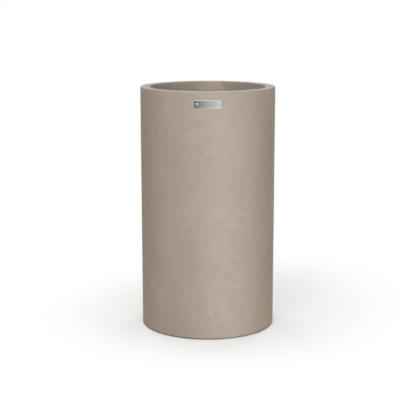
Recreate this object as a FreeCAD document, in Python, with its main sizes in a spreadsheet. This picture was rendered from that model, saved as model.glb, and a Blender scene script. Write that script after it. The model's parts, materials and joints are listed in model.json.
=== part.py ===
"""Tall round fibreglass planter on four rubber feet, with a plugged drain and a riveted plate.

Millimetres, +Z up.  The origin is on the ground at the planter's axis, and the plate faces -Y.
The shell is one laminate moulding: a plain round wall whose rim turns inwards and down again,
like an upturned J.  A sandwich floor is bonded in near the bottom and carries the feet.
"""
import FreeCAD, Part

import math
import os

import Sketcher
from FreeCAD import Placement, Rotation, Vector

DIMENSIONS = [
    # name, millimetres, what it is
    ("outer_radius", 250, "outside of the wall"),
    ("overall_height", 905, "ground to the top of the rim"),
    ("wall", 5, "laminate of the wall, the rim and the lip"),
    ("ground_gap", 3, "ground to the wall's lower edge"),
    ("rim_width", 35, "flat top of the rim, outside to inside"),
    ("lip_depth", 50, "top of the rim to the lip's lower edge"),
    ("rim_edge_radius", 3, "rounding of the rim's two top edges"),
    ("lip_edge_radius", 2, "rounding of the lip's lower edges"),
    ("base_edge_radius", 4, "rounding of the wall's outer lower edge"),
    ("hoop_height", 18, "foam hoop under the rim"),
    ("skin", 3, "laminate skins of the floor and the cover strip of the hoop"),
    ("floor_height", 14, "ground to the underside of the floor"),
    ("floor_board", 12, "plywood core of the floor"),
    ("upper_cove", 16, "leg of the bonded cove above the floor"),
    ("lower_cove", 8, "leg of the bonded cove below the floor"),
    ("cove_edge", 1, "thickness of a cove where it runs out"),
    ("drain_hole_radius", 21, "hole through the floor"),
    ("collar_radius", 20, "outside of the drain collar's threaded tube"),
    ("collar_bore", 16, "inside of the drain collar"),
    ("collar_flange_radius", 32, "flange of the drain collar"),
    ("collar_flange", 3, "thickness of that flange"),
    ("collar_lift", 5, "ground to the collar's lower end"),
    ("gasket", 1.5, "thickness of the drain gasket"),
    ("gasket_radius", 30, "outside of the drain gasket"),
    ("nut_circumradius", 31, "corners of the hexagonal drain nut"),
    ("nut_height", 8, "drain nut"),
    ("thread_play", 0.15, "radial play of the drain nut on the collar"),
    ("bung_play", 0.3, "play between the bung and the collar, radial and under its flange"),
    ("bung_tip_radius", 14, "lower end of the bung's taper"),
    ("bung_taper_length", 18, "length of that taper"),
    ("bung_flange_radius", 22, "flange of the bung"),
    ("bung_flange", 4, "thickness of that flange"),
    ("bung_neck_radius", 7, "neck of the bung's grip"),
    ("bung_neck_length", 6, "length of that neck"),
    ("bung_knob_radius", 11, "knob of the bung's grip"),
    ("bung_knob_height", 9, "height of that knob"),
    ("bung_rounding", 3, "rounding of the knob"),
    ("flange_rounding", 1.2, "rounding of the collar's and the bung's flanges"),
    ("foot_circle", 215, "feet, distance from the planter's axis"),
    ("foot_top_radius", 20, "upper face of a foot"),
    ("foot_sole_radius", 17, "sole of a foot"),
    ("foot_recess_radius", 7, "recess for the screw head"),
    ("foot_recess_depth", 7, "depth of that recess"),
    ("foot_sole_rounding", 1.5, "rounding of the sole's edge"),
    ("washer_radius", 6, "washer under the screw head"),
    ("washer", 1.2, "thickness of that washer"),
    ("screw_radius", 2.1, "shank of a foot screw"),
    ("screw_play", 0.2, "radial play of the screw in the foot and the washer"),
    ("screw_length", 20, "foot screw under its head"),
    ("screw_point", 4, "length of the screw's point"),
    ("screw_point_radius", 0.4, "end of that point"),
    ("screw_head_radius", 4.25, "pan head of a foot screw"),
    ("screw_head", 3, "height of that head"),
    ("screw_head_rounding", 1.4, "rounding of that head"),
    ("screw_slot_length", 4.6, "each slot of the cross recess"),
    ("screw_slot_width", 1.1, "width of such a slot"),
    ("screw_slot_depth", 1.6, "depth of such a slot"),
    ("plate_width", 98, "plate, along the wall's curve"),
    ("plate_height", 29, "plate, up and down"),
    ("plate", 2, "thickness of the plate"),
    ("plate_level", 862, "ground to the middle of the plate"),
    ("plate_corner_radius", 2, "corners of the plate"),
    ("plate_bevel", 0.8, "bevel round the face of the plate"),
    ("rivet_spread", 81, "rivet to rivet, along the wall's curve"),
    ("rivet_hole_radius", 2.5, "rivet holes in the plate, the wall and the washers"),
    ("rivet_radius", 2.4, "shank of a rivet"),
    ("rivet_head_radius", 4.75, "domed head of a rivet"),
    ("rivet_head", 2.6, "height of that head"),
    ("rivet_head_rounding", 2.3, "rounding of that head"),
    ("rivet_tail_radius", 3.6, "formed tail of a rivet, behind the wall"),
    ("rivet_tail", 5, "length of that tail"),
    ("rivet_tail_rounding", 1, "rounding of that tail"),
    ("rivet_bore", 1.4, "bore of a rivet"),
    ("pin_radius", 1.35, "broken-off pin inside a rivet"),
    ("pin_recess", 0.6, "top of the rivet's head to the pin"),
    ("pin_head_radius", 2.1, "head of the pin, behind the tail"),
    ("pin_head", 1.8, "length of the pin's head"),
    ("rivet_washer_radius", 8, "washer behind the wall"),
    ("rivet_washer_gap", 0.15, "hollow between the flat washer and the round wall"),
    ("rivet_washer", 1.5, "thickness of that washer"),
]


class Size:
    """A size that carries its number and the expression which binds it to the sheet."""

    def __init__(self, number, text):
        self.number = number
        self.text = text

    def __add__(self, other):
        return Size(self.number + number_of(other), f"({self.text} + {text_of(other)})")

    def __sub__(self, other):
        return Size(self.number - number_of(other), f"({self.text} - {text_of(other)})")

    def __mul__(self, other):
        return Size(self.number * number_of(other), f"({self.text} * {text_of(other)})")

    def __truediv__(self, other):
        return Size(self.number / number_of(other), f"({self.text} / {text_of(other)})")


def number_of(size):
    return size.number if isinstance(size, Size) else size


def text_of(size):
    return size.text if isinstance(size, Size) else repr(size)


class Dimensions:
    """The spreadsheet of driving dimensions; each alias is an attribute that gives its Size."""

    def __init__(self, document, rows):
        sheet = document.addObject("Spreadsheet::Sheet", "Sizes")
        for row, (name, millimetres, meaning) in enumerate(rows, start=1):
            sheet.set(f"A{row}", name)
            sheet.set(f"B{row}", str(millimetres))
            sheet.setAlias(f"B{row}", name)
            sheet.set(f"C{row}", meaning)
            setattr(self, name, Size(millimetres, f"Sizes.{name}"))


document = FreeCAD.newDocument("planter")
dim = Dimensions(document, DIMENSIONS)
document.recompute()

# Levels, radii and bearings that follow from the driving dimensions.
inner_radius = dim.outer_radius - dim.wall
mouth_radius = dim.outer_radius - dim.rim_width
channel_radius = mouth_radius + dim.wall
rim_underside = dim.overall_height - dim.wall
lip_bottom = dim.overall_height - dim.lip_depth
hoop_bottom = rim_underside - dim.hoop_height
board_bottom = dim.floor_height + dim.skin
board_top = board_bottom + dim.floor_board
floor_top = board_top + dim.skin
collar_seat = floor_top + dim.gasket
collar_top = collar_seat + dim.collar_flange
bung_seat = collar_top + dim.bung_play
washer_top = dim.foot_recess_depth
screw_head_top = washer_top - dim.washer
screw_head_bottom = screw_head_top - dim.screw_head
screw_tip = screw_head_top + dim.screw_length
plate_face = dim.outer_radius + dim.plate
rivet_head_top = plate_face + dim.rivet_head
rivet_washer_outer = inner_radius - dim.rivet_washer_gap
rivet_washer_inner = rivet_washer_outer - dim.rivet_washer
rivet_end = rivet_washer_inner - dim.rivet_tail
degrees_along_wall = Size(180 / math.pi, repr(180 / math.pi)) / dim.outer_radius
rivet_angle = dim.rivet_spread / 2 * degrees_along_wall

FRONT = 270
FEET = {"front_left": 225, "front_right": 315, "back_right": 45, "back_left": 135}
RIVETS = {"left": rivet_angle * -1 + FRONT, "right": rivet_angle + FRONT}


# ---- helpers ---------------------------------------------------------------------------------

def bind(thing, path, size):
    """Set a property of an object from a size, and keep it bound to the sheet."""
    thing.setExpression(path, text_of(size))


def new_body(label, bearing=0):
    """A body whose placement swings it round the planter's axis, from +X to a bearing."""
    body = document.addObject("PartDesign::Body", label)
    body.Label = label
    bind(body, "Placement.Rotation.Angle", bearing)
    return body


def origin_item(body, role):
    return next(item for item in body.Origin.OriginFeatures if item.Role == role)


def new_sketch(body, name, plane="XZ_Plane", turn=None, **shifts):
    """A sketch on one of the body's origin planes.

    turn swings it about its own vertical; shifts x, y and z move it along the plane's axes.
    """
    sketch = body.newObject("Sketcher::SketchObject", f"{body.Name}_{name}")
    sketch.AttachmentSupport = (origin_item(body, plane), [""])
    sketch.MapMode = "FlatFace"
    if turn is not None:
        sketch.AttachmentOffset = Placement(Vector(), Rotation(Vector(0, 1, 0), 90))
        bind(sketch, "AttachmentOffset.Rotation.Angle", turn)
    for axis, shift in shifts.items():
        bind(sketch, f"AttachmentOffset.Base.{axis}", shift)
    return sketch


def constrain(sketch, kind, size, *places):
    """Add a dimension to a sketch and bind it to the sheet."""
    index = sketch.addConstraint(Sketcher.Constraint(kind, *places, number_of(size)))
    bind(sketch, f"Constraints[{index}]", size)


def fix_point(sketch, place, across, up):
    """Hold a point of the sketch at its distances from the sketch's own two axes."""
    for kind, size, axis in (("DistanceX", across, -2), ("DistanceY", up, -1)):
        if number_of(size) == 0:
            sketch.addConstraint(Sketcher.Constraint("PointOnObject", *place, axis))
        else:
            constrain(sketch, kind, size, -1, 1, *place)


def draw_outline(sketch, corners):
    """A closed outline of straight lines, with every corner held to the sheet."""
    points = [Vector(number_of(across), number_of(up)) for across, up in corners]
    ends = points[1:] + points[:1]
    lines = [sketch.addGeometry(Part.LineSegment(*pair)) for pair in zip(points, ends)]
    for line, following, corner in zip(lines, lines[1:] + lines[:1], corners):
        sketch.addConstraint(Sketcher.Constraint("Coincident", line, 2, following, 1))
        fix_point(sketch, (line, 1), *corner)


def draw_circle(sketch, radius, across=0, up=0):
    """A circle, by its radius and its centre, held to the sheet."""
    centre = Vector(number_of(across), number_of(up))
    circle = sketch.addGeometry(Part.Circle(centre, Vector(0, 0, 1), number_of(radius)))
    fix_point(sketch, (circle, 3), across, up)
    constrain(sketch, "Radius", radius, circle)


def add_feature(body, kind, name, profile):
    feature = body.newObject(f"PartDesign::{kind}", f"{body.Name}_{name}")
    feature.Profile = profile
    return feature


def turned(body, corners, about="V_Axis", angle=None, **where):
    """Turn an outline about an axis of its sketch: fully, or by an angle half to each side."""
    sketch = new_sketch(body, "section", **where)
    draw_outline(sketch, corners)
    feature = add_feature(body, "Revolution", "turned", sketch)
    feature.ReferenceAxis = (sketch, [about])
    if angle is not None:
        feature.Midplane = True
        bind(feature, "Angle", angle)


def ring(body, bottom, height, inner, outer, **where):
    """A flat ring, about the planter's axis or about a point shifted from it."""
    sketch = new_sketch(body, "ring", "XY_Plane", z=bottom, **where)
    draw_circle(sketch, inner)
    draw_circle(sketch, outer)
    pad = add_feature(body, "Pad", "pad", sketch)
    bind(pad, "Length", height)


def cut_must_bite(body, feature):
    """Check that a cutting feature has taken something away from the solid before it."""
    document.recompute()
    if not feature.Shape.Volume < feature.BaseFeature.Shape.Volume - 1e-3:
        raise RuntimeError(f"{feature.Name} cuts nothing out of {body.Label}")


def radial_hole(body, side, near, far):
    """A hole for one rivet, along the radius between two distances from the axis."""
    sketch = new_sketch(body, f"{side}_hole", turn=RIVETS[side], y=dim.plate_level)
    draw_outline(sketch, [
        (near, 0), (far, 0), (far, dim.rivet_hole_radius), (near, dim.rivet_hole_radius),
    ])
    groove = add_feature(body, "Groove", f"{side}_bore", sketch)
    groove.ReferenceAxis = (sketch, ["H_Axis"])
    cut_must_bite(body, groove)


def cove(label, corner_level, leg, rising):
    """A bonded cove between the wall and the floor: a square ring with a round groove."""
    body = new_body(label)
    far_level = corner_level + leg if rising else corner_level - leg
    toe = inner_radius - leg
    turned(body, [
        (toe, corner_level), (inner_radius, corner_level),
        (inner_radius, far_level), (toe, far_level),
    ])
    sketch = new_sketch(body, "hollow")
    draw_circle(sketch, leg - dim.cove_edge, toe, far_level)
    groove = add_feature(body, "Groove", "hollowed", sketch)
    groove.ReferenceAxis = (sketch, ["V_Axis"])
    cut_must_bite(body, groove)
    return body


def repeat_at_feet(body, feature=None):
    """Repeat a feature, or the whole body so far, evenly round the planter's axis."""
    pattern = body.newObject("PartDesign::PolarPattern", f"{body.Name}_at_feet")
    if feature is None:
        pattern.TransformMode = "Whole shape"
    else:
        pattern.Originals = [feature]
    pattern.Axis = (origin_item(body, "Z_Axis"), [""])
    pattern.Occurrences = len(FEET)
    body.Tip = pattern


def soften(body, kind, name, size, wanted):
    """Fillet or chamfer the edges of the body's newest feature that pass the test."""
    document.recompute()
    base = body.Tip
    edges = [f"Edge{i}" for i, edge in enumerate(base.Shape.Edges, start=1) if wanted(edge)]
    if not edges:
        raise RuntimeError(f"{body.Label} has no edge for {name}")
    feature = body.newObject(f"PartDesign::{kind}", f"{body.Name}_{name}")
    feature.Base = (base, edges)
    bind(feature, "Radius" if kind == "Fillet" else "Size", size)


def level_of(point):
    return point.z


def reach_of(point):
    """A point's distance from the planter's axis."""
    return math.hypot(point.x, point.y)


def round_edges(*rings, measure=level_of):
    """A test for circular edges, each given by its radius and its centre's level or reach."""
    def wanted(edge):
        curve = edge.Curve
        return isinstance(curve, Part.Circle) and any(
            is_near(curve.Radius, radius) and is_near(measure(curve.Center), place)
            for radius, place in rings
        )
    return wanted


def is_near(value, size):
    return abs(value - number_of(size)) < 1e-4


# ---- the moulded shell and its rim ------------------------------------------------------------

def outer_shell():
    """The wall, the flat rim and the lip, moulded in one, with the two rivet holes."""
    body = new_body("outer_shell")
    turned(body, [
        (dim.outer_radius, dim.ground_gap),
        (dim.outer_radius, dim.overall_height),
        (mouth_radius, dim.overall_height),
        (mouth_radius, lip_bottom),
        (channel_radius, lip_bottom),
        (channel_radius, rim_underside),
        (inner_radius, rim_underside),
        (inner_radius, dim.ground_gap),
    ])
    soften(body, "Fillet", "rim_edges", dim.rim_edge_radius, round_edges(
        (dim.outer_radius, dim.overall_height), (mouth_radius, dim.overall_height)))
    soften(body, "Fillet", "base_edge", dim.base_edge_radius, round_edges(
        (dim.outer_radius, dim.ground_gap)))
    soften(body, "Fillet", "lip_edges", dim.lip_edge_radius, round_edges(
        (mouth_radius, lip_bottom), (channel_radius, lip_bottom)))
    for side in RIVETS:
        radial_hole(body, side, inner_radius - dim.wall, dim.outer_radius + dim.wall)
    return body


def rim_core():
    """The foam hoop which the rim is laid up over."""
    body = new_body("rim_core")
    ring(body, hoop_bottom, dim.hoop_height, channel_radius, inner_radius)
    return body


def rim_core_cover():
    """The laminate strip which closes the hoop in from below."""
    body = new_body("rim_core_cover")
    ring(body, hoop_bottom - dim.skin, dim.skin, channel_radius, inner_radius)
    return body


# ---- the bonded floor -------------------------------------------------------------------------

def floor_layer(label, bottom, thickness, screw_depth=None):
    """A layer of the floor, with the drain hole and, from below, the holes of the foot screws."""
    body = new_body(label, FEET["back_right"])
    ring(body, bottom, thickness, dim.drain_hole_radius, inner_radius)
    if screw_depth is None:
        return body
    sketch = new_sketch(body, "screw_hole", "XY_Plane", x=dim.foot_circle, z=bottom)
    draw_circle(sketch, dim.screw_radius)
    hole = add_feature(body, "Pocket", "screw_hole_cut", sketch)
    hole.Reversed = True
    bind(hole, "Length", screw_depth)
    cut_must_bite(body, hole)
    repeat_at_feet(body, hole)
    return body


def floor_lower_skin():
    return floor_layer("floor_lower_skin", dim.floor_height, dim.skin, dim.skin)


def floor_core():
    """Plywood, drilled part of the way through for the foot screws."""
    return floor_layer("floor_core", board_bottom, dim.floor_board, screw_tip - board_bottom)


def floor_upper_skin():
    return floor_layer("floor_upper_skin", board_top, dim.skin)


def floor_cove_upper():
    return cove("floor_cove_upper", floor_top, dim.upper_cove, rising=True)


def floor_cove_lower():
    return cove("floor_cove_lower", dim.floor_height, dim.lower_cove, rising=False)


# ---- the drain --------------------------------------------------------------------------------

def drain_collar():
    """The flanged tube through the floor; its thread is left plain."""
    body = new_body("drain_collar")
    turned(body, [
        (dim.collar_bore, dim.collar_lift),
        (dim.collar_radius, dim.collar_lift),
        (dim.collar_radius, collar_seat),
        (dim.collar_flange_radius, collar_seat),
        (dim.collar_flange_radius, collar_top),
        (dim.collar_bore, collar_top),
    ])
    soften(body, "Fillet", "flange_edge", dim.flange_rounding, round_edges(
        (dim.collar_flange_radius, collar_top)))
    return body


def drain_gasket():
    body = new_body("drain_gasket")
    ring(body, floor_top, dim.gasket, dim.collar_radius, dim.gasket_radius)
    return body


def drain_locknut():
    """A hexagonal nut that pulls the collar down from below the floor."""
    hexagon = document.addObject("Part::Prism", "drain_locknut_hexagon")
    hexagon.Polygon = 6
    bind(hexagon, "Circumradius", dim.nut_circumradius)
    thread = document.addObject("Part::Cylinder", "drain_locknut_thread")
    bind(thread, "Radius", dim.collar_radius + dim.thread_play)
    for solid in (hexagon, thread):
        bind(solid, "Height", dim.nut_height)
        bind(solid, "Placement.Base.z", dim.floor_height - dim.nut_height)
    nut = document.addObject("Part::Cut", "drain_locknut")
    nut.Base = hexagon
    nut.Tool = thread
    return nut


def drain_bung():
    """A rubber plug: a taper that fills the collar, a flange and a waisted grip."""
    body = new_body("drain_bung")
    top = dim.collar_bore - dim.bung_play
    tip_level = bung_seat - dim.bung_taper_length
    flange_top = bung_seat + dim.bung_flange
    knob_bottom = flange_top + dim.bung_neck_length
    knob_top = knob_bottom + dim.bung_knob_height
    turned(body, [
        (0, tip_level),
        (dim.bung_tip_radius, tip_level),
        (top, bung_seat),
        (dim.bung_flange_radius, bung_seat),
        (dim.bung_flange_radius, flange_top),
        (dim.bung_neck_radius, flange_top),
        (dim.bung_neck_radius, knob_bottom),
        (dim.bung_knob_radius, knob_bottom),
        (dim.bung_knob_radius, knob_top),
        (0, knob_top),
    ])
    soften(body, "Fillet", "knob_edges", dim.bung_rounding, round_edges(
        (dim.bung_knob_radius, knob_bottom), (dim.bung_knob_radius, knob_top)))
    soften(body, "Fillet", "flange_edges", dim.flange_rounding, round_edges(
        (dim.bung_flange_radius, flange_top), (dim.bung_tip_radius, tip_level)))
    return body


# ---- the feet ---------------------------------------------------------------------------------

def foot(corner):
    """A tapered rubber foot with a deep recess that keeps its screw head off the ground."""
    body = new_body(f"foot_{corner}", FEET[corner])
    hole = dim.screw_radius + dim.screw_play
    turned(body, [
        (hole, dim.foot_recess_depth),
        (hole, dim.floor_height),
        (dim.foot_top_radius, dim.floor_height),
        (dim.foot_sole_radius, 0),
        (dim.foot_recess_radius, 0),
        (dim.foot_recess_radius, dim.foot_recess_depth),
    ], x=dim.foot_circle)
    soften(body, "Fillet", "sole_edge", dim.foot_sole_rounding, round_edges(
        (dim.foot_sole_radius, 0)))
    return body


def foot_washers():
    body = new_body("foot_washers", FEET["back_right"])
    hole = dim.screw_radius + dim.screw_play
    ring(body, screw_head_top, dim.washer, hole, dim.washer_radius, x=dim.foot_circle)
    repeat_at_feet(body)
    return body


def foot_screws():
    """Pan-headed screws, driven up through the feet into the plywood."""
    body = new_body("foot_screws", FEET["back_right"])
    turned(body, [
        (0, screw_head_bottom),
        (dim.screw_head_radius, screw_head_bottom),
        (dim.screw_head_radius, screw_head_top),
        (dim.screw_radius, screw_head_top),
        (dim.screw_radius, screw_tip - dim.screw_point),
        (dim.screw_point_radius, screw_tip),
        (0, screw_tip),
    ], x=dim.foot_circle)
    soften(body, "Fillet", "head_edge", dim.screw_head_rounding, round_edges(
        (dim.screw_head_radius, screw_head_bottom)))
    sketch = new_sketch(body, "cross", "XY_Plane", x=dim.foot_circle, z=screw_head_bottom)
    draw_outline(sketch, cross_corners(dim.screw_slot_length / 2, dim.screw_slot_width / 2))
    cross = add_feature(body, "Pocket", "cross_recess", sketch)
    cross.Reversed = True
    bind(cross, "Length", dim.screw_slot_depth)
    cut_must_bite(body, cross)
    repeat_at_feet(body)
    return body


def cross_corners(arm, half_width):
    """The twelve corners of an upright cross about the sketch's origin."""
    corners = []
    for across, up in ((1, 1), (-1, 1), (-1, -1), (1, -1)):
        wide, narrow = (arm * across, half_width * up), (half_width * across, arm * up)
        inner = (half_width * across, half_width * up)
        corners += [wide, inner, narrow] if across == up else [narrow, inner, wide]
    return corners


# ---- the plate on the front -------------------------------------------------------------------

def badge_plate():
    """A bare bevelled plate, bent to the wall."""
    body = new_body("badge_plate")
    half_height = dim.plate_height / 2
    turned(body, [
        (dim.outer_radius, dim.plate_level - half_height),
        (plate_face, dim.plate_level - half_height),
        (plate_face, dim.plate_level + half_height),
        (dim.outer_radius, dim.plate_level + half_height),
    ], angle=dim.plate_width * degrees_along_wall, turn=FRONT)
    soften(body, "Fillet", "corners", dim.plate_corner_radius, is_corner_of_plate)
    soften(body, "Chamfer", "bevel", dim.plate_bevel, is_on_plate_face)
    for side in RIVETS:
        radial_hole(body, side, dim.outer_radius - dim.plate, plate_face + dim.plate)
    return body


def is_corner_of_plate(edge):
    return isinstance(edge.Curve, Part.Line) and is_near(edge.Length, dim.plate)


def is_on_plate_face(edge):
    middle = edge.valueAt((edge.FirstParameter + edge.LastParameter) / 2)
    points = [middle] + [vertex.Point for vertex in edge.Vertexes]
    return all(is_near(reach_of(point), plate_face) for point in points)


def turned_at_rivet(body, side, corners):
    """Turn an outline about a rivet's axis: (distance from the planter's axis, radius)."""
    turned(body, corners, "H_Axis", turn=RIVETS[side], y=dim.plate_level)


def badge_rivet(side):
    """A blind rivet as set: domed head, shank, formed tail and bore."""
    body = new_body(f"badge_rivet_{side}")
    turned_at_rivet(body, side, [
        (rivet_end, dim.rivet_bore),
        (rivet_end, dim.rivet_tail_radius),
        (rivet_washer_inner, dim.rivet_tail_radius),
        (rivet_washer_inner, dim.rivet_radius),
        (plate_face, dim.rivet_radius),
        (plate_face, dim.rivet_head_radius),
        (rivet_head_top, dim.rivet_head_radius),
        (rivet_head_top, dim.rivet_bore),
    ])
    soften(body, "Fillet", "dome", dim.rivet_head_rounding, round_edges(
        (dim.rivet_head_radius, rivet_head_top), measure=reach_of))
    soften(body, "Fillet", "tail_edge", dim.rivet_tail_rounding, round_edges(
        (dim.rivet_tail_radius, rivet_end), measure=reach_of))
    return body


def rivet_pin(side):
    """The broken-off pin that stays inside a rivet, with its head behind the tail."""
    body = new_body(f"rivet_pin_{side}")
    pin_top = rivet_head_top - dim.pin_recess
    turned_at_rivet(body, side, [
        (rivet_end - dim.pin_head, 0),
        (rivet_end - dim.pin_head, dim.pin_head_radius),
        (rivet_end, dim.pin_head_radius),
        (rivet_end, dim.pin_radius),
        (pin_top, dim.pin_radius),
        (pin_top, 0),
    ])
    return body


def rivet_washer(side):
    """A flat washer that spreads the rivet's pull over the laminate."""
    body = new_body(f"rivet_washer_{side}")
    turned_at_rivet(body, side, [
        (rivet_washer_inner, dim.rivet_hole_radius),
        (rivet_washer_inner, dim.rivet_washer_radius),
        (rivet_washer_outer, dim.rivet_washer_radius),
        (rivet_washer_outer, dim.rivet_hole_radius),
    ])
    return body


# ---- build, check and write -------------------------------------------------------------------

def build_all():
    pieces = [
        outer_shell(), rim_core(), rim_core_cover(),
        floor_lower_skin(), floor_core(), floor_upper_skin(),
        floor_cove_upper(), floor_cove_lower(),
        drain_collar(), drain_gasket(), drain_locknut(), drain_bung(),
    ]
    pieces += [foot(corner) for corner in FEET]
    pieces += [foot_washers(), foot_screws(), badge_plate()]
    for side in RIVETS:
        pieces += [badge_rivet(side), rivet_pin(side), rivet_washer(side)]
    return pieces


def check_all(pieces):
    """Stop if any object failed to compute or any sub-part has no sound shape."""
    document.recompute()
    for thing in document.Objects:
        if "Invalid" in thing.State or "Error" in thing.State:
            raise RuntimeError(f"{thing.Label} failed: {thing.State}")
    for piece in pieces:
        if piece.Shape.isNull() or not piece.Shape.isValid():
            raise RuntimeError(f"{piece.Label} has no sound shape")


def write_all(pieces):
    os.makedirs("parts", exist_ok=True)
    for piece in pieces:
        piece.Shape.exportStep(f"parts/{piece.Label}.step")


subparts = build_all()
check_all(subparts)
write_all(subparts)
for subpart in subparts:
    box = subpart.Shape.BoundBox
    solids = len(subpart.Shape.Solids)
    print(f"{subpart.Label}: {solids} solids, {subpart.Shape.Volume / 1000:.2f} cm3, "
          f"z {box.ZMin:.2f} to {box.ZMax:.2f}")
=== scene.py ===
"""Looks of a tall round fibreglass planter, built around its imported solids.

Metres, +Z up, the origin on the ground at the planter's axis, the plate towards -Y.
"""
import math
import random

import bmesh
import bpy
from mathutils import Matrix, Vector, noise
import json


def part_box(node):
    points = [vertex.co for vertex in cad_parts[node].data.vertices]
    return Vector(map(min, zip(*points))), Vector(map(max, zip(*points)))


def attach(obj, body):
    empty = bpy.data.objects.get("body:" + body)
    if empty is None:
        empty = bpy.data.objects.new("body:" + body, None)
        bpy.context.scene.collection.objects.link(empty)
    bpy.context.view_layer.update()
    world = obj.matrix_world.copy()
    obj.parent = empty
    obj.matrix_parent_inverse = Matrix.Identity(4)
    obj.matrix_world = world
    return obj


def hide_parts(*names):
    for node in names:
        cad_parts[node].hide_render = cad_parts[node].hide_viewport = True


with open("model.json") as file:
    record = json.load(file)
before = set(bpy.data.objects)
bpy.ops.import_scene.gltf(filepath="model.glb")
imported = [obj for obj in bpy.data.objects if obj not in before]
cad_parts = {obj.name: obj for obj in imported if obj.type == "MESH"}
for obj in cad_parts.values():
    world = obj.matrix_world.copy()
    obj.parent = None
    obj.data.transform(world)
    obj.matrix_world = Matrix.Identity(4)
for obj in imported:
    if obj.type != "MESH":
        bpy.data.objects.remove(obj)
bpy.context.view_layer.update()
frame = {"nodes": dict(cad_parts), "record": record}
scene = bpy.context.scene
MM = 0.001
TURN = 2 * math.pi


# ---- sizes in millimetres, from the frame where its boxes give them -----------------------------

def node_size(node):
    """Half the width of a node, which is a round one's radius, and its bottom and top.

    A facetted circle is a little narrower than the true one, so the width is rounded.
    """
    low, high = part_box(node)
    return round((high.x - low.x) / MM) / 2, round(low.z / MM, 1), round(high.z / MM, 1)


def mouth_radius():
    """The radius that the record gives the mouth."""
    for mount in frame["record"]["mounts"]:
        if mount["name"] == "mouth":
            return mount["dims"]["r_mm"]


WALL_OUTSIDE, BASE, TOP = node_size("outer_shell")
WALL_INSIDE, FLOOR_BOTTOM, _ = node_size("floor_lower_skin")
_, SKIN_BOTTOM, FLOOR_TOP = node_size("floor_upper_skin")
_, COVER_BOTTOM, COVER_TOP = node_size("rim_core_cover")
_, _, RIM_UNDERSIDE = node_size("rim_core")
MOUTH = mouth_radius()
CHANNEL = MOUTH + WALL_OUTSIDE - WALL_INSIDE
LIP_BOTTOM = TOP - 50.0
DRAIN_HOLE = 21.0
FOOT_CIRCLE = 215.0
FOOT_BEARINGS = {"front_left": 225, "front_right": 315, "back_right": 45, "back_left": 135}
_, PLATE_BOTTOM, PLATE_TOP = node_size("badge_plate")
PLATE_LEVEL = (PLATE_BOTTOM + PLATE_TOP) / 2
PLATE_FACE = WALL_OUTSIDE + 2.0
# These two are measured round the wall.
PLATE_LENGTH, RIVET_SPREAD = 98.0, 81.0


# ---- camera ------------------------------------------------------------------------------------

def add_camera():
    """The photograph's camera, which stands a little to the left and looks down at the planter."""
    distance, height, tilt = 4.0329, 1.2441, math.radians(11.227)
    bearing, sideways = math.radians(-0.32), 0.00077
    focal_length, sensor = 93.858, 36.0
    data = bpy.data.cameras.new("camera")
    data.lens, data.sensor_width = focal_length, sensor
    data.clip_end = 1000
    camera = bpy.data.objects.new("camera", data)
    scene.collection.objects.link(camera)
    place = Matrix.Rotation(bearing, 4, "Z") @ Vector((sideways, -distance, height))
    camera.location = place
    camera.rotation_euler = (math.pi / 2 - tilt, 0, bearing)
    scene.camera = camera


add_camera()


# ---- meshes ------------------------------------------------------------------------------------

def rounded(corners, steps=6):
    """An outline of (radius, height) points from corners (radius, height, fillet)."""
    points = []
    count = len(corners)
    for i, (r, z, fillet) in enumerate(corners):
        if not fillet:
            points.append((r, z))
            continue
        here = Vector((r, z))
        back = (Vector(corners[i - 1][:2]) - here).normalized()
        ahead = (Vector(corners[(i + 1) % count][:2]) - here).normalized()
        half = back.angle(ahead) / 2
        run = fillet / math.tan(half)
        centre = here + (back + ahead).normalized() * fillet / math.sin(half)
        start, end = here + back * run - centre, here + ahead * run - centre
        sweep = start.angle_signed(end)
        for k in range(steps + 1):
            turn = Matrix.Rotation(-sweep * k / steps, 2)
            points.append(tuple(centre + turn @ start))
    return points


def divided(points, longest):
    """The same closed outline with no side longer than a given length."""
    made = []
    for (r0, z0), (r1, z1) in zip(points, points[1:] + points[:1]):
        parts = max(1, math.ceil(math.hypot(r1 - r0, z1 - z0) / longest))
        made += [(r0 + (r1 - r0) * k / parts, z0 + (z1 - z0) * k / parts)
                 for k in range(parts)]
    return made


def lathe(name, outline, segments, shape=None, sharp=35):
    """Turn a closed outline (millimetres) about Z.  shape moves a point (r, z, angle).

    The UV map is in metres: along the turn at the outline's largest radius, and along it.
    """
    mesh = bpy.data.meshes.new(name)
    made = bmesh.new()
    uv = made.loops.layers.uv.new("UVMap")
    widest = max(r for r, _ in outline)
    travel = [0.0]
    for (r0, z0), (r1, z1) in zip(outline, outline[1:] + outline[:1]):
        travel.append(travel[-1] + math.hypot(r1 - r0, z1 - z0))
    rings = []
    for r, z in outline:
        if r < 1e-6:
            rings.append([made.verts.new((0, 0, z * MM))] * segments)
            continue
        ring = []
        for k in range(segments):
            angle = TURN * k / segments
            rr, zz = shape(r, z, angle) if shape else (r, z)
            ring.append(made.verts.new((rr * MM * math.cos(angle),
                                        rr * MM * math.sin(angle), zz * MM)))
        rings.append(ring)
    for i, ring in enumerate(rings):
        following = rings[(i + 1) % len(rings)]
        if ring[0] is ring[1] and following[0] is following[1]:
            continue
        for k in range(segments):
            n = (k + 1) % segments
            corners = [(ring[k], k, i), (ring[n], k + 1, i),
                       (following[n], k + 1, i + 1), (following[k], k, i + 1)]
            if ring[k] is ring[n]:
                del corners[1]
            elif following[k] is following[n]:
                del corners[3]
            face = made.faces.new([corner[0] for corner in corners])
            for loop, (_, turn, row) in zip(face.loops, corners):
                loop[uv].uv = (TURN * widest * MM * turn / segments, travel[row] * MM)
    bmesh.ops.recalc_face_normals(made, faces=made.faces)
    made.to_mesh(mesh)
    made.free()
    return finished(name, mesh, sharp)


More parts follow.
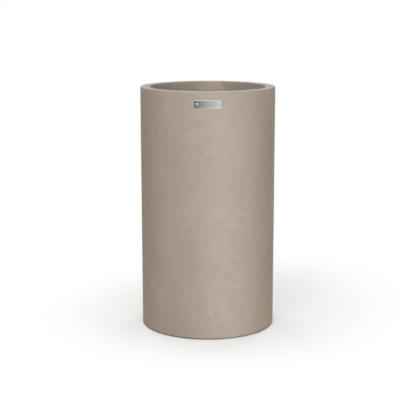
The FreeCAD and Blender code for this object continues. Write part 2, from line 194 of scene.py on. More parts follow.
def finished(name, mesh, sharp=35):
    """The mesh as an object, smooth except at edges sharper than so many degrees."""
    mesh.shade_smooth()
    mesh.set_sharp_from_angle(angle=math.radians(sharp))
    piece = bpy.data.objects.new(name, mesh)
    scene.collection.objects.link(piece)
    return piece


def dress(piece, material, slot, *nodes, body="planter"):
    """Give a new piece its material, and let it stand for CAD nodes. The slot is not used."""
    if not piece.data.materials:
        piece.data.materials.append(material)
    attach(piece, body)
    if nodes:
        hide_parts(*nodes)


def ripple(angle, height, seed, size):
    """Smooth noise on the round wall, from -1 to 1 or so, with features of a size in mm."""
    radius = WALL_INSIDE / size
    return noise.noise(Vector((radius * math.cos(angle), radius * math.sin(angle),
                               height / size + seed)))


# ---- materials ---------------------------------------------------------------------------------

def linear(red, green, blue):
    """A colour given as it looks on screen (0 to 1), for a shader."""
    return tuple(c / 12.92 if c <= 0.04045 else ((c + 0.055) / 1.055) ** 2.4
                 for c in (red, green, blue)) + (1.0,)


class Graph:
    """A material's nodes, with short ways to add the usual ones."""

    def __init__(self, name, **sockets):
        self.material = bpy.data.materials.new(name)
        self.material.use_nodes = True
        self.tree = self.material.node_tree
        self.tree.nodes.clear()
        output = self.tree.nodes.new("ShaderNodeOutputMaterial")
        self.shader = self.tree.nodes.new("ShaderNodeBsdfPrincipled")
        self.tree.links.new(self.shader.outputs[0], output.inputs[0])
        self.surface = output.inputs[0]
        for socket, value in sockets.items():
            self.shader.inputs[socket.replace("_", " ")].default_value = value

    def node(self, kind, *values, **settings):
        """Add a node with settings, and inputs by number or name: values or other sockets."""
        made = self.tree.nodes.new("ShaderNode" + kind)
        named = settings.pop("named", {})
        for key, value in settings.items():
            setattr(made, key, value)
        for key, value in list(enumerate(values)) + list(named.items()):
            if value is None:
                continue
            if isinstance(value, bpy.types.NodeSocket):
                self.tree.links.new(value, made.inputs[key])
            else:
                made.inputs[key].default_value = value
        return made

    def coords(self, kind="Object"):
        """The place on the piece, in metres."""
        return self.node("TexCoord").outputs[kind]

    def mapped(self, vector, scale=(1, 1, 1), turn=0.0, shift=(0, 0, 0)):
        """A vector that is scaled, then turned by degrees about Z, then shifted."""
        return self.node("Mapping", vector, shift, (0, 0, math.radians(turn)), scale).outputs[0]

    def noise(self, vector, scale, detail=2.0, rough=0.5, warp=0.0):
        """Soft noise from 0 to 1, with so many features a metre."""
        return self.node("TexNoise", named={
            "Vector": vector, "Scale": scale, "Detail": detail, "Roughness": rough,
            "Distortion": warp}).outputs[0]

    def cells(self, vector, scale):
        """The distance to the nearest of scattered points, and a random colour for each."""
        made = self.node("TexVoronoi", named={"Vector": vector, "Scale": scale})
        return made.outputs["Distance"], made.outputs["Color"]

    def math(self, operation, *values):
        """One step of arithmetic."""
        return self.node("Math", *values, operation=operation).outputs[0]

    def ramp(self, value, low, high, to_low=0.0, to_high=1.0, smooth=True):
        """A value that goes from one level to another as the input goes from low to high."""
        kind = "SMOOTHSTEP" if smooth else "LINEAR"
        return self.node("MapRange", value, low, high, to_low, to_high,
                         interpolation_type=kind).outputs[0]

    def mix(self, factor, first, second):
        """A blend of two colours, which are inputs 6 and 7 of the node."""
        made = self.node("Mix", data_type="RGBA")
        for key, value in ((0, factor), (6, first), (7, second)):
            if isinstance(value, bpy.types.NodeSocket):
                self.tree.links.new(value, made.inputs[key])
            else:
                made.inputs[key].default_value = value
        return made.outputs[2]

    def bump(self, height, distance, under=None):
        """A bump whose height runs from 0 to 1 over a distance in metres."""
        return self.node("Bump", named={"Height": height, "Distance": distance,
                                        "Strength": 1.0, "Normal": under}).outputs[0]

    def finish(self, colour, rough, normal):
        """Join the patterns to the shader, and give back the material."""
        for socket, value in (("Base Color", colour), ("Roughness", rough), ("Normal", normal)):
            self.tree.links.new(value, self.shader.inputs[socket])
        return self.material


def stone_finish():
    """Matt stone-coloured coat: soft clouds, faint trowel strokes, fine sand and pinholes, which
    are darkened with painted shade.

    Along the base a band is darker: painted shade for the dark line where the wall meets the
    floor.
    """
    g = Graph("stone_coat", Specular_IOR_Level=0.8)
    where = g.coords()
    clouds = g.noise(g.mapped(where, (1, 1, 0.8)), 11.0, 2.0, 0.5, 0.3)
    patches = g.noise(g.mapped(where, (1, 1, 1.3)), 30.0, 3.0, 0.55, 0.3)
    strokes = g.noise(g.mapped(where, (1, 1, 2.8)), 52.0, 3.0, 0.6, 0.7)
    sand = g.noise(where, 620.0, 2.0, 0.6)
    grit = g.noise(where, 2100.0, 1.0, 0.5)
    hole, _ = g.cells(where, 150.0)
    holes = g.ramp(hole, 0.05, 0.11, 1.0, 0.0)
    rare = g.ramp(g.noise(where, 21.0, 1.0), 0.54, 0.62)
    pinholes = g.math("MULTIPLY", holes, rare)
    colour = g.mix(g.ramp(clouds, 0.32, 0.68), linear(0.681, 0.628, 0.575),
                   linear(0.703, 0.651, 0.598))
    colour = g.mix(g.ramp(patches, 0.36, 0.80, 0.0, 0.9), colour, linear(0.661, 0.607, 0.552))
    colour = g.mix(g.ramp(strokes, 0.48, 0.78, 0.0, 0.6), colour, linear(0.724, 0.674, 0.624))
    colour = g.mix(g.ramp(sand, 0.25, 0.75, 0.0, 0.16), colour, linear(0.611, 0.555, 0.497))
    # The pinholes are shallow dents, darkened with painted shade.
    colour = g.mix(g.math("MULTIPLY", pinholes, 0.35), colour, linear(0.463, 0.405, 0.352))
    # Painted shade: a darker band along the base, for the shadow line where the wall meets the
    # floor.
    height = g.node("SeparateXYZ", where).outputs[2]
    uneven = g.math("MULTIPLY_ADD", g.noise(where, 45.0, 3.0, 0.6), 0.004, height)
    edge = g.ramp(uneven, 0.0095, 0.0125, 0.85, 0.0)
    colour = g.mix(edge, colour, linear(0.42, 0.36, 0.30))
    rough = g.ramp(patches, 0.25, 0.75, 0.38, 0.50)
    normal = g.bump(g.math("SUBTRACT", strokes, g.math("MULTIPLY", pinholes, 0.6)), 0.00022)
    normal = g.bump(g.math("ADD", sand, g.math("MULTIPLY", grit, 0.5)), 0.00010, under=normal)
    return g.finish(colour, rough, normal)


def raw_laminate(name="bare_laminate", flat=False):
    """Uncoated glass-fibre laminate: cut strands in every direction under a thin resin."""
    g = Graph(name, Specular_IOR_Level=0.45)
    where = g.coords("Object" if flat else "UV")
    strands = None
    random.seed(11)
    for turn in (8, 37, 66, 98, 127, 155):
        turned = g.mapped(where, turn=turn + random.uniform(-6, 6))
        laid = g.mapped(turned, (24, 520, 24), shift=(random.random(), random.random(), 0))
        one = g.ramp(g.noise(laid, 1.0, 1.5, 0.5, 0.35), 0.57, 0.70)
        strands = one if strands is None else g.math("MAXIMUM", strands, one)
    pools = g.noise(where, 22.0, 3.0, 0.55, 0.5)
    thick = g.noise(where, 6.0, 2.0)
    bubble, _ = g.cells(where, 330.0)
    bubbles = g.math("MULTIPLY", g.ramp(bubble, 0.06, 0.12, 1.0, 0.0),
                     g.ramp(pools, 0.55, 0.65))
    resin = g.mix(g.ramp(pools, 0.3, 0.72), linear(0.590, 0.565, 0.495),
                  linear(0.690, 0.665, 0.595))
    resin = g.mix(g.ramp(thick, 0.3, 0.7, 0.0, 0.45), resin, linear(0.56, 0.54, 0.48))
    colour = g.mix(g.math("MULTIPLY", strands, 0.5), resin, linear(0.80, 0.79, 0.74))
    colour = g.mix(g.math("MULTIPLY", bubbles, 0.5), colour, linear(0.82, 0.81, 0.77))
    rough = g.ramp(strands, 0.0, 1.0, 0.36, 0.52)
    normal = g.bump(pools, 0.0012)
    normal = g.bump(strands, 0.00028, under=normal)
    return g.finish(colour, rough, normal)


def foam():
    """Cut rigid foam: small open cells, their hollow middles darkened with painted shade."""
    g = Graph("cut_foam", Specular_IOR_Level=0.2)
    where = g.coords()
    cell, _ = g.cells(where, 900.0)
    shade = g.noise(where, 30.0, 3.0)
    # Painted shade: darker towards the middle of each cell, which is a hollow.
    colour = g.mix(g.ramp(cell, 0.1, 0.6), linear(0.74, 0.68, 0.49), linear(0.87, 0.81, 0.62))
    colour = g.mix(g.ramp(shade, 0.3, 0.7, 0.0, 0.3), colour, linear(0.80, 0.73, 0.53))
    return g.finish(colour, g.ramp(cell, 0.0, 0.7, 0.95, 0.8), g.bump(cell, 0.0005))


def plywood():
    """Birch plywood: long grain on its faces and thin plies at its edge."""
    g = Graph("birch_plywood", Specular_IOR_Level=0.3)
    where = g.coords()
    grain = g.noise(g.mapped(where, (5, 70, 70)), 6.0, 4.0, 0.6, 0.4)
    plies = g.node("TexWave", g.mapped(where, (0, 0, 1)), named={"Scale": 105.0},
                   wave_type="BANDS", bands_direction="Z").outputs[0]
    colour = g.mix(g.ramp(grain, 0.3, 0.7), linear(0.66, 0.50, 0.33), linear(0.79, 0.64, 0.45))
    colour = g.mix(g.ramp(plies, 0.3, 0.7, 0.0, 0.4), colour, linear(0.52, 0.37, 0.23))
    return g.finish(colour, g.ramp(grain, 0.2, 0.8, 0.6, 0.75), g.bump(grain, 0.0002))


def moulded(name, tone, rough, level, grain=1500.0):
    """Moulded black plastic or rubber: fine spark texture, faint flow marks and scuffs."""
    g = Graph(name, Specular_IOR_Level=level)
    where = g.coords()
    skin = g.noise(where, grain, 2.0, 0.6)
    flow = g.noise(where, 38.0, 3.0, 0.6, 0.8)
    scuff = g.noise(g.mapped(where, (1, 1, 6), 20), 160.0, 4.0, 0.7)
    dark = linear(tone * 0.86, tone * 0.86, tone * 0.88)
    pale = linear(tone * 1.25, tone * 1.24, tone * 1.22)
    colour = g.mix(g.ramp(flow, 0.3, 0.7), dark, pale)
    colour = g.mix(g.ramp(scuff, 0.62, 0.78, 0.0, 0.35), colour,
                   linear(tone * 1.9, tone * 1.87, tone * 1.8))
    shine = g.math("ADD", g.ramp(flow, 0.25, 0.75, rough - 0.05, rough + 0.05),
                   g.ramp(scuff, 0.6, 0.8, 0.0, 0.12))
    return g.finish(colour, shine, g.bump(skin, 0.00005))


def zinc_steel():
    """Zinc plating: faint spangle, a cool cast and slight dulling."""
    g = Graph("zinc_plating", Metallic=1.0)
    where = g.coords()
    _, spangle = g.cells(where, 420.0)
    haze = g.noise(where, 90.0, 3.0, 0.6)
    fleck = g.node("SeparateColor", spangle).outputs[0]
    colour = g.mix(fleck, linear(0.70, 0.71, 0.72), linear(0.80, 0.81, 0.82))
    colour = g.mix(g.ramp(haze, 0.5, 0.8, 0.0, 0.35), colour, linear(0.80, 0.78, 0.66))
    rough = g.math("ADD", g.ramp(haze, 0.3, 0.7, 0.28, 0.4),
                   g.math("MULTIPLY", fleck, 0.08))
    return g.finish(colour, rough, g.bump(g.noise(where, 1400.0, 1.0), 0.00001))


def plate_steel():
    """Stainless sheet, finely brushed along its length."""
    g = Graph("brushed_stainless", Metallic=1.0)
    where = g.coords("UV")
    brush = g.noise(g.mapped(where, (60, 5200, 1)), 1.0, 3.0, 0.65)
    coarse = g.noise(g.mapped(where, (18, 1500, 1)), 1.0, 2.0, 0.6)
    haze = g.noise(where, 70.0, 3.0, 0.55)
    colour = g.mix(g.ramp(brush, 0.3, 0.7), linear(0.745, 0.745, 0.74), linear(0.81, 0.81, 0.805))
    colour = g.mix(g.ramp(haze, 0.4, 0.75, 0.0, 0.22), colour, linear(0.73, 0.735, 0.74))
    rough = g.math("ADD", g.ramp(coarse, 0.25, 0.75, 0.13, 0.20),
                   g.ramp(haze, 0.3, 0.8, 0.0, 0.05))
    height = g.math("ADD", brush, g.math("MULTIPLY", coarse, 0.7))
    return g.finish(colour, rough, g.bump(height, 0.000009))


def rivet_steel():
    """Bright stainless with a faint haze and small dents."""
    g = Graph("bright_stainless", Metallic=1.0)
    where = g.coords()
    dents = g.noise(where, 900.0, 2.0)
    haze = g.noise(where, 260.0, 3.0, 0.6)
    colour = g.mix(g.ramp(haze, 0.35, 0.7), linear(0.80, 0.80, 0.795), linear(0.88, 0.88, 0.875))
    return g.finish(colour, g.ramp(haze, 0.3, 0.75, 0.18, 0.30), g.bump(dents, 0.00002))


STONE = stone_finish()
LAMINATE = raw_laminate()
LAMINATE_FLAT = raw_laminate("bare_laminate_flat", flat=True)
FOAM = foam()
PLYWOOD = plywood()
PLASTIC = moulded("moulded_plastic", 0.23, 0.46, 0.4)
RUBBER = moulded("moulded_rubber", 0.20, 0.62, 0.35, 1100.0)
ZINC = zinc_steel()
PLATE = plate_steel()
BRIGHT = rivet_steel()


# ---- the shell and its rim ---------------------------------------------------------------------

def build_shell():
    """The moulded wall, rim and lip; smooth outside, hand-laid and slightly uneven inside."""
    base_edge, rim_edge, lip_edge = 4, 3, 2
    outline = divided(rounded([
        (WALL_OUTSIDE, BASE, base_edge), (WALL_OUTSIDE, TOP, rim_edge), (MOUTH, TOP, rim_edge),
        (MOUTH, LIP_BOTTOM, lip_edge), (CHANNEL, LIP_BOTTOM, lip_edge),
        (CHANNEL, RIM_UNDERSIDE, 0), (WALL_INSIDE, RIM_UNDERSIDE, 0), (WALL_INSIDE, BASE, 0),
    ]), 16)

    def uneven(r, z, angle):
        """Lumps on the wall's inside face, which fade out near the floor and the rim."""
        if abs(r - WALL_INSIDE) > 0.01 or not FLOOR_TOP < z < LIP_BOTTOM:
            return r, z
        fade = min(1.0, (z - FLOOR_TOP) / 30, (LIP_BOTTOM - z) / 30)
        lumps = ripple(angle, z, 3.1, 46) * 0.45 + ripple(angle, z, 8.4, 17) * 0.2
        return r + lumps * fade - 0.1 * fade, z

    shell = lathe("shell", outline, 360, uneven)
    shell.data.materials.append(STONE)
    shell.data.materials.append(LAMINATE)
    # The laminate is bare inside the wall, under the rim and behind the lip.
    nearest, farthest, highest = (MOUTH + 4) * MM, (WALL_INSIDE + 1.5) * MM, (TOP - 4) * MM
    for face in shell.data.polygons:
        middle = face.center
        if nearest < math.hypot(middle.x, middle.y) < farthest and middle.z < highest:
            face.material_index = 1
    dress(shell, STONE, "stone_finish", "outer_shell")


build_shell()


# ---- the plate ---------------------------------------------------------------------------------

def plate_loop(inset, corner, level, across=26, up=8, arc=7):
    """Points (along, up, distance from the axis) round the plate, inset from its edge.

    Each long side has so many steps across, each short side so many up, and each corner an arc.
    """
    half_w, half_h = PLATE_LENGTH / 2 - inset, (PLATE_TOP - PLATE_BOTTOM) / 2 - inset
    corner = min(max(corner - inset, 0.02), half_h, half_w)
    points = []
    for cx, cy, start in ((1, 1, 0), (-1, 1, 90), (-1, -1, 180), (1, -1, 270)):
        for k in range(arc + 1):
            a = math.radians(start + 90 * k / arc)
            points.append((cx * (half_w - corner) + corner * math.cos(a),
                           cy * (half_h - corner) + corner * math.sin(a)))
        steps = across if cy == cx else up
        x0, y0 = points[-1]
        nx, ny = {(1, 1): (-half_w + corner, y0), (-1, 1): (x0, -half_h + corner),
                  (-1, -1): (half_w - corner, y0), (1, -1): (x0, half_h - corner)}[(cx, cy)]
        for k in range(1, steps):
            points.append((x0 + (nx - x0) * k / steps, y0 + (ny - y0) * k / steps))
    return [(x, y, level) for x, y in points]


def build_plate():
    """The bare bent plate: a bevelled face with softened edges."""
    # inset from the edge, corner radius, height above the wall
    edge = [(0.35, 2, 0.0), (0.0, 2, 0.3), (0.0, 2, 0.85), (0.12, 2, 1.0), (2.2, 3.5, 1.9),
            (2.5, 3.7, 1.98)]
    face_insets = (2.9, 4.5, 6.5, 9.0, 11.5, 14.0, 14.45)
    loops = [plate_loop(inset, corner, WALL_OUTSIDE + rise) for inset, corner, rise in edge]
    loops += [plate_loop(inset, 4, PLATE_FACE) for inset in face_insets]
    mesh = bpy.data.meshes.new("plate")
    made = bmesh.new()
    uv = made.loops.layers.uv.new("UVMap")

    def place(point):
        """A point's place on the bent plate, in metres."""
        along, up, level = point
        angle = along / WALL_OUTSIDE
        return (level * MM * math.sin(angle), -level * MM * math.cos(angle),
                (PLATE_LEVEL + up) * MM)

    rings = [[made.verts.new(place(p)) for p in loop] for loop in loops]
    count = len(loops[0])
    for i in range(len(rings) - 1):
        for k in range(count):
            n = (k + 1) % count
            face = made.faces.new((rings[i][k], rings[i][n], rings[i + 1][n], rings[i + 1][k]))
            sources = (loops[i][k], loops[i][n], loops[i + 1][n], loops[i + 1][k])
            for loop, source in zip(face.loops, sources):
                loop[uv].uv = (source[0] * MM, source[1] * MM)
    for ring, loop_points in ((rings[0], loops[0]), (rings[-1], loops[-1])):
        face = made.faces.new(ring)
        for loop, source in zip(face.loops, loop_points):
            loop[uv].uv = (source[0] * MM, source[1] * MM)
    bmesh.ops.remove_doubles(made, verts=made.verts, dist=1e-6)
    bmesh.ops.recalc_face_normals(made, faces=made.faces)
    made.to_mesh(mesh)
    made.free()
    plate = finished("plate", mesh, 30)
    dress(plate, PLATE, "plate_steel", "badge_plate")


build_plate()


def at_rivet(side):
    """The place of a rivet: its axis is the local Z, out from the wall, from the plate's face."""
    angle = side * RIVET_SPREAD / 2 / WALL_OUTSIDE
    out = Vector((math.sin(angle), -math.cos(angle), 0))
    turn = out.to_track_quat("Z", "Y").to_matrix().to_4x4()
    return Matrix.Translation(out * PLATE_FACE * MM + Vector((0, 0, PLATE_LEVEL * MM))) @ turn


def build_rivets():
    """Blind rivets: a domed head, a body through plate and wall, and a bulb behind the washer."""
    bore, body, bulb, head = 1.4, 2.4, 3.6, 4.75
    dome, washer_back, tail = 2.6, -8.65, -14.65
    for name, side in (("left", -1), ("right", 1)):
        outline = rounded([
            (bore, dome, 0.25), (bore, tail, 0), (bulb, tail, 1), (bulb, washer_back, 0.3),
            (body, washer_back, 0), (body, 0, 0), (head, 0, 0.12), (head, 0.55, 0.25),
            (4.2, 1.45, 1.5), (2.9, 2.3, 2.5), (1.9, dome, 0.3),
        ], 5)
        rivet = lathe(f"rivet_{name}", outline, 48, sharp=40)
        rivet.data.transform(at_rivet(side))
        dress(rivet, BRIGHT, "rivet_steel", f"badge_rivet_{name}")


build_rivets()


# ---- the floor, its coves and the rim's cover ---------------------------------------------------

def build_floor_skin():
    """The hand-laid skin that the floor shows inside, uneven except at the drain."""
    def lumpy(r, z, angle):
        """Shallow hollows in the top, which fade out near the collar."""
        if z < FLOOR_TOP - 0.5:
            return r, z
        collar_clear, lump = 34, 38
        fade = min(1.0, (r - collar_clear) / 20) if r > collar_clear else 0.0
        where = Vector((r * math.cos(angle) / lump, r * math.sin(angle) / lump, 4.2))
        return r, z - abs(noise.noise(where)) * 0.7 * fade

    skin = lathe("floor_laminate", divided(rounded([
        (WALL_INSIDE, SKIN_BOTTOM, 0), (WALL_INSIDE, FLOOR_TOP, 0),
        (DRAIN_HOLE, FLOOR_TOP, 0.5), (DRAIN_HOLE, SKIN_BOTTOM, 0)], 3), 8), 180, lumpy)
    dress(skin, LAMINATE_FLAT, "raw_laminate", "floor_upper_skin")


def build_cove(name, corner, rise):
    """A hollow fillet of laminate between floor and wall; rise is 1 above the floor, -1 below."""
    node = f"floor_{name}"
    _, bottom, top = node_size(node)
    leg, tip, steps = top - bottom, 1, 12
    outline = [(WALL_INSIDE, corner), (WALL_INSIDE, corner + rise * leg)]
    for k in range(steps + 1):
        a = math.pi / 2 * k / steps
        outline.append((WALL_INSIDE - leg + (leg - tip) * math.cos(a),
                        corner + rise * (leg - (leg - tip) * math.sin(a))))
    outline.append((WALL_INSIDE - leg, corner))

    def hand_laid(r, z, angle):
        """Both tips fall short by an uneven share of the leg, and the middle stays."""
        up = (z - corner) * rise / leg
        out = (WALL_INSIDE - r) / leg
        short = 0.16 + 0.16 * ripple(angle, corner, 1.7, 30) + 0.05 * ripple(
            angle, corner, 5.9, 9)
        narrow = 0.14 + 0.14 * ripple(angle, corner, 12.3, 34) + 0.05 * ripple(
            angle, corner, 2.2, 8)
        zz = z - rise * leg * max(short, 0) * max(0.0, up - 0.45) / 0.55
        rr = r + leg * max(narrow, 0) * max(0.0, out - 0.45) / 0.55
        return rr, zz

    cove = lathe(name, outline, 240, hand_laid, sharp=60)
    dress(cove, LAMINATE, "raw_laminate", node)


def build_rim_cover():
    """The strip of laminate that closes the rim's foam in, uneven on its underside."""
    def lumpy(r, z, angle):
        """Shallow hollows in the underside."""
        if z > COVER_BOTTOM + 1:
            return r, z
        return r, z + abs(ripple(angle, r, 6.6, 24)) * 0.8

    cover = lathe("rim_cover", divided(rounded([
        (CHANNEL, COVER_TOP, 0), (CHANNEL, COVER_BOTTOM, 0.6),
        (WALL_INSIDE, COVER_BOTTOM, 0.6), (WALL_INSIDE, COVER_TOP, 0)], 3), 6), 240, lumpy)
    dress(cover, LAMINATE, "raw_laminate", "rim_core_cover")


build_floor_skin()
build_cove("cove_upper", FLOOR_TOP, 1)
build_cove("cove_lower", FLOOR_BOTTOM, -1)
build_rim_cover()


# ---- the drain ---------------------------------------------------------------------------------

def build_drain():
    """A flanged collar through the floor, its gasket and locknut, and the bung that plugs it."""
    bore, tube, play = 16, 20, 0.15
    flange, collar_bottom, collar_top = node_size("drain_collar")
    seal, seal_bottom, seal_top = node_size("drain_gasket")
    collar = lathe("collar", divided(rounded([
        (bore, collar_bottom, 0.5), (tube, collar_bottom, 0.8), (tube, seal_top, 0),
        (flange, seal_top, 0.3), (flange, collar_top, 1.1), (bore, collar_top, 0.6)], 5), 4), 96)
    dress(collar, PLASTIC, "drain_plastic", "drain_collar")

    gasket = lathe("gasket", rounded([
        (tube, seal_bottom, 0), (seal, seal_bottom, 0.3), (seal, seal_top, 0.3),
        (tube, seal_top, 0)], 3), 96)
    dress(gasket, RUBBER, "black_rubber", "drain_gasket")

    def six_sided(r, z, angle):
        """The nut's outside has six flats, and its bore stays round."""
        if r < tube + 1:
            return r, z
        flat = (angle + math.pi / 6) % (math.pi / 3) - math.pi / 6
        return r * math.cos(math.pi / 6) / math.cos(math.pi / 6 - abs(flat)), z

    corners, nut_bottom, nut_top = node_size("drain_locknut")
    nut = lathe("locknut", rounded([
        (tube + play, nut_bottom, 0.5), (corners, nut_bottom, 1.2), (corners, nut_top, 0.5),
        (tube + play, nut_top, 0)], 4), 120, six_sided, sharp=28)
    dress(nut, PLASTIC, "drain_plastic", "drain_locknut")

    cap, bung_bottom, bung_top = node_size("drain_bung")
    small_end, large_end, stem, knob = 14, 15.7, 7, 11
    cap_bottom = collar_top + 2 * play
    cap_top = cap_bottom + 4
    knob_bottom = cap_top + 6
    bung = lathe("bung", divided(rounded([
        (0, bung_bottom, 0), (small_end, bung_bottom, 1.2), (large_end, cap_bottom, 0.3),
        (cap, cap_bottom, 0.5), (cap, cap_top, 1.3), (stem, cap_top, 1.6),
        (stem, knob_bottom, 1.8), (knob, knob_bottom, 2.2), (knob, bung_top, 2.8),
        (0, bung_top, 0)], 6), 3), 96, sharp=50)
    dress(bung, RUBBER, "black_rubber", "drain_bung", body="bung")


build_drain()


# ---- the feet ----------------------------------------------------------------------------------

def build_feet():
    """Four tapered pads with a recess for the screw's head and a hole for its shank."""
    hole, recess, sole, recess_top = 2.3, 7, 17, 7
    for corner, bearing in FOOT_BEARINGS.items():
        wide, _, top = node_size(f"foot_{corner}")
        foot = lathe(f"foot_pad_{corner}", divided(rounded([
            (hole, recess_top, 0), (hole, top, 0), (wide, top, 0.5), (sole, 0, 1.6),
            (recess, 0, 0.8), (recess, recess_top, 0.4)], 5), 3), 72)
        a = math.radians(bearing)
        foot.data.transform(Matrix.Translation(
            Vector((math.cos(a), math.sin(a), 0)) * FOOT_CIRCLE * MM))
        dress(foot, RUBBER, "black_rubber", f"foot_{corner}")


build_feet()


# ---- CAD pieces that show as they are -----------------------------------------------------------

CARRIED = {
    "rim_core": FOAM, "floor_lower_skin": LAMINATE_FLAT, "floor_core": PLYWOOD,
    "foot_washers": ZINC, "foot_screws": ZINC, "rivet_pin_left": ZINC, "rivet_pin_right": ZINC,
    "rivet_washer_left": BRIGHT, "rivet_washer_right": BRIGHT,
}
for node, material in CARRIED.items():
    mesh_object = frame["nodes"][node]
    mesh_object.data.materials.clear()
    mesh_object.data.materials.append(material)


# ---- floor, lights and world --------------------------------------------------------------------

# The floor has a share of plain white, which grows to all of it between two distances, in metres,
# from a place near the base.  Behind that place they are longer, most of all in a direction some
# degrees to the right of straight back, where the shadow lies.
WHITE_CENTRE = (0.05, 0.15, 0.0)
WHITE_START, WHITE_END = 0.2, 0.75
WHITE_SHARE = 0.36
WHITE_DIRECTION, WHITE_STRETCH = 25, 1.5
FLOOR_SEEN, FLOOR_UNSEEN = (0.99, 0.99, 0.99, 1), (0.88, 0.88, 0.88, 1)
# The patch under the planter that throws light up at its underside.
PATCH_START, PATCH_END, PATCH_GLOW = 0.16, 0.21, 0.6
WORLD_LIGHT = 0.04
LIGHTS = [
    # name, bearing, elevation, distance, width, height, power, level aimed at
    ("top", 180, 80, 3.6, 3.0, 3.0, 24, 0.45),
    ("front_high", 5, 50, 4.0, 1.8, 1.5, 11, 0.45),
    ("key_high", -22, 40, 4.0, 0.35, 0.35, 22, 0.45),
    ("front_middle", 10, 32, 4.0, 1.8, 1.5, 25, 0.45),
    ("front_floor", 0, 3, 3.4, 1.8, 0.5, 12, 0.12),
    ("front_low", -14, 11, 5.0, 0.4, 0.4, 42, 0.45),
    ("key", -50, 28, 4.5, 0.7, 0.7, 8, 0.45),
    ("right", 62, 0, 3.4, 1.6, 2.4, 20.5, 1.2),
    ("back_right", 150, 0, 3.4, 1.6, 2.4, 74, 1.2),
    ("back_left", -150, 0, 3.4, 1.6, 2.4, 65, 1.2),
]
SPOTS = [
    # name, place, target, radius lit at the target, power
    ("inside", (0, 0, 3.2), (0, 0, 0.905), 0.2, 250),
    ("lip", (0.15, -2.0, 1.9), (0.018, 0.215, 0.862), 0.062, 62),
]
REFLECTOR_PEAK = 1.6
REFLECTOR_WARM = (1.0, 0.74, 0.40, 1)
# Heights in metres between which the warm part fades out and each band sets in.
WARM_END = (0.80, 0.90)
RIM_BAND, RIM_BAND_GLOW = (0.90, 1.0), 0.9
UPPER_BAND, UPPER_BAND_GLOW = (1.15, 1.4), 1.4
REFLECTOR_GLOW = [
    # bearing in degrees, glow
    (-180, 0.12), (-110, 0.3), (-60, 0.2), (-35, 0.2), (-18, 0.33), (0, 0.9), (20, 1.4),
    (45, 1.2), (70, 0.6), (110, 0.3), (180, 0.12),
]


def build_stage():
    """A white floor that keeps the planter's shadow and is plain white far away.

    The patch under the planter glows for diffuse rays only, so that the underside can be seen.
    From below the floor is clear.
    """
    mesh = bpy.data.meshes.new("stage_floor")
    made = bmesh.new()
    bmesh.ops.create_circle(made, cap_ends=True, segments=64, radius=300)
    made.to_mesh(mesh)
    made.free()
    floor = bpy.data.objects.new("stage_floor", mesh)
    scene.collection.objects.link(floor)
    floor.visible_glossy = False
    g = Graph("stage_floor")
    path = g.node("LightPath").outputs
    seen = g.math("MAXIMUM", path["Is Camera Ray"], g.math(
        "MAXIMUM", path["Is Glossy Ray"], path["Is Transmission Ray"]))
    shade = g.node("BsdfDiffuse", g.mix(seen, FLOOR_UNSEEN, FLOOR_SEEN))
    plain = g.node("Emission", (1, 1, 1, 1), 1.0)
    away = g.node("VectorMath", g.coords(), WHITE_CENTRE, operation="SUBTRACT").outputs[0]
    along = g.node("SeparateXYZ", g.mapped(away, turn=WHITE_DIRECTION)).outputs
    depth = g.math("MAXIMUM", g.math("DIVIDE", along[1], WHITE_STRETCH),
                   g.math("MULTIPLY", along[1], -1.0))
    squeezed = g.node("CombineXYZ", along[0], depth, 0.0).outputs[0]
    reach = g.node("VectorMath", squeezed, operation="LENGTH").outputs[1]
    far = g.math("MULTIPLY", seen, g.ramp(reach, WHITE_START, WHITE_END, WHITE_SHARE, 1.0))
    lit = g.node("MixShader", far, shade.outputs[0], plain.outputs[0])
    under = g.node("VectorMath", g.coords(), operation="LENGTH").outputs[1]
    glow = g.math("MULTIPLY", g.math("SUBTRACT", 1.0, seen),
                  g.ramp(under, PATCH_START, PATCH_END, PATCH_GLOW, 0.0))
    patch = g.node("Emission", (1, 1, 1, 1), glow)
    lit = g.node("AddShader", lit.outputs[0], patch.outputs[0])
    back = g.node("NewGeometry").outputs["Backfacing"]
    clear = g.node("BsdfTransparent")
    both = g.node("MixShader", back, lit.outputs[0], clear.outputs[0])
    g.tree.links.new(both.outputs[0], g.surface)
    mesh.materials.append(g.material)


def add_light(name, bearing, elevation, distance, width, height, power, aim):
    """A soft box that looks at the planter; bearing 0 is the front, 90 the right."""
    data = bpy.data.lights.new(name, "AREA")
    data.shape, data.size, data.size_y = "RECTANGLE", width, height
    data.energy = power
    light = bpy.data.objects.new(name, data)
    scene.collection.objects.link(light)
    light.visible_camera = light.visible_glossy = False
    b, e = math.radians(bearing), math.radians(elevation)
    out = Vector((math.sin(b) * math.cos(e), -math.cos(b) * math.cos(e), math.sin(e)))
    light.location = Vector((0, 0, aim)) + out * distance
    light.rotation_euler = out.to_track_quat("Z", "Y").to_euler()


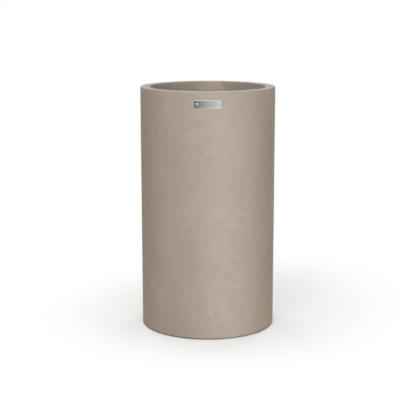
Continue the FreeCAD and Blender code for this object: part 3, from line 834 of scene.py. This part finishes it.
def build_reflector():
    """What the gloss sees all round: a broad white panel in front, dimmer at the left and behind.

    A band above the rim's level is what the flat rim mirrors.  The upper band is brighter still,
    for the domes of the rivets.  At the sides and behind, the part below both is warm.
    """
    reach, low, high, steps = 0.8, -0.7, 2.0, 96
    mesh = bpy.data.meshes.new("stage_reflector")
    corners, faces = [], []
    for k in range(steps):
        bearing = TURN * k / steps
        x, y = reach * math.sin(bearing), -reach * math.cos(bearing)
        corners += [(x, y, low), (x, y, high)]
    for k in range(0, 2 * steps, 2):
        n = (k + 2) % (2 * steps)
        faces.append((k, n, n + 1, k + 1))
    mesh.from_pydata(corners, [], faces)
    reflector = bpy.data.objects.new("stage_reflector", mesh)
    scene.collection.objects.link(reflector)
    reflector.visible_camera = reflector.visible_diffuse = False
    reflector.visible_shadow = reflector.visible_transmission = False
    g = Graph("stage_reflector")
    spot = g.node("SeparateXYZ", g.coords()).outputs
    bearing = g.math("ARCTAN2", spot[0], g.math("MULTIPLY", spot[1], -1.0))
    ramp = g.node("ValToRGB", g.ramp(bearing, -math.pi, math.pi, smooth=False))
    knots = ramp.color_ramp.elements
    while len(knots) < len(REFLECTOR_GLOW):
        knots.new(0.5)
    for knot, (degrees, _) in zip(knots, REFLECTOR_GLOW):
        knot.position = (degrees + 180) / 360
    for knot, (_, glow) in zip(knots, REFLECTOR_GLOW):
        knot.color = (glow / REFLECTOR_PEAK,) * 3 + (1,)
    tilt = g.ramp(spot[2], -0.2, 1.1, 1.4, 0.6, smooth=False)
    glow = g.math("MULTIPLY", ramp.outputs[0], g.math("MULTIPLY", tilt, REFLECTOR_PEAK))
    glow = g.math("MAXIMUM", glow, g.ramp(spot[2], *RIM_BAND, 0.0, RIM_BAND_GLOW))
    glow = g.math("MAXIMUM", glow, g.ramp(spot[2], *UPPER_BAND, 0.0, UPPER_BAND_GLOW))
    side = g.math("MULTIPLY", g.ramp(g.math("ABSOLUTE", bearing), 1.0, 1.8),
                  g.ramp(spot[2], *WARM_END, 1.0, 0.0))
    panel = g.node("Emission", g.mix(side, (1, 1, 1, 1), REFLECTOR_WARM), glow)
    g.tree.links.new(panel.outputs[0], g.surface)
    mesh.materials.append(g.material)


def add_spot(name, place, target, radius, power):
    """A narrow beam: one down the mouth for the deep inside, one on the far side of the lip."""
    data = bpy.data.lights.new(name, "SPOT")
    place, target = Vector(place), Vector(target)
    data.energy, data.shadow_soft_size, data.spot_blend = power, 0.02, 0.6
    data.spot_size = 2 * math.atan(radius / (target - place).length)
    light = bpy.data.objects.new(name, data)
    scene.collection.objects.link(light)
    light.visible_camera = light.visible_glossy = False
    light.location = place
    light.rotation_euler = (place - target).to_track_quat("Z", "Y").to_euler()


def build_world():
    """A white background that adds only a little diffuse light."""
    world = bpy.data.worlds.new("world")
    scene.world = world
    world.use_nodes = True
    tree = world.node_tree
    tree.nodes.clear()
    output = tree.nodes.new("ShaderNodeOutputWorld")
    path = tree.nodes.new("ShaderNodeLightPath")
    other = tree.nodes.new("ShaderNodeMath")
    other.operation = "SUBTRACT"
    other.inputs[0].default_value = 1.0
    strength = tree.nodes.new("ShaderNodeMath")
    strength.operation = "MAXIMUM"
    strength.inputs[1].default_value = WORLD_LIGHT
    glow = tree.nodes.new("ShaderNodeBackground")
    glow.inputs[0].default_value = (1, 1, 1, 1)
    tree.links.new(path.outputs["Is Diffuse Ray"], other.inputs[1])
    tree.links.new(other.outputs[0], strength.inputs[0])
    tree.links.new(strength.outputs[0], glow.inputs[1])
    tree.links.new(glow.outputs[0], output.inputs[0])


build_stage()
build_reflector()
for settings in LIGHTS:
    add_light(*settings)
for settings in SPOTS:
    add_spot(*settings)
build_world()
scene.view_settings.view_transform = "Standard"
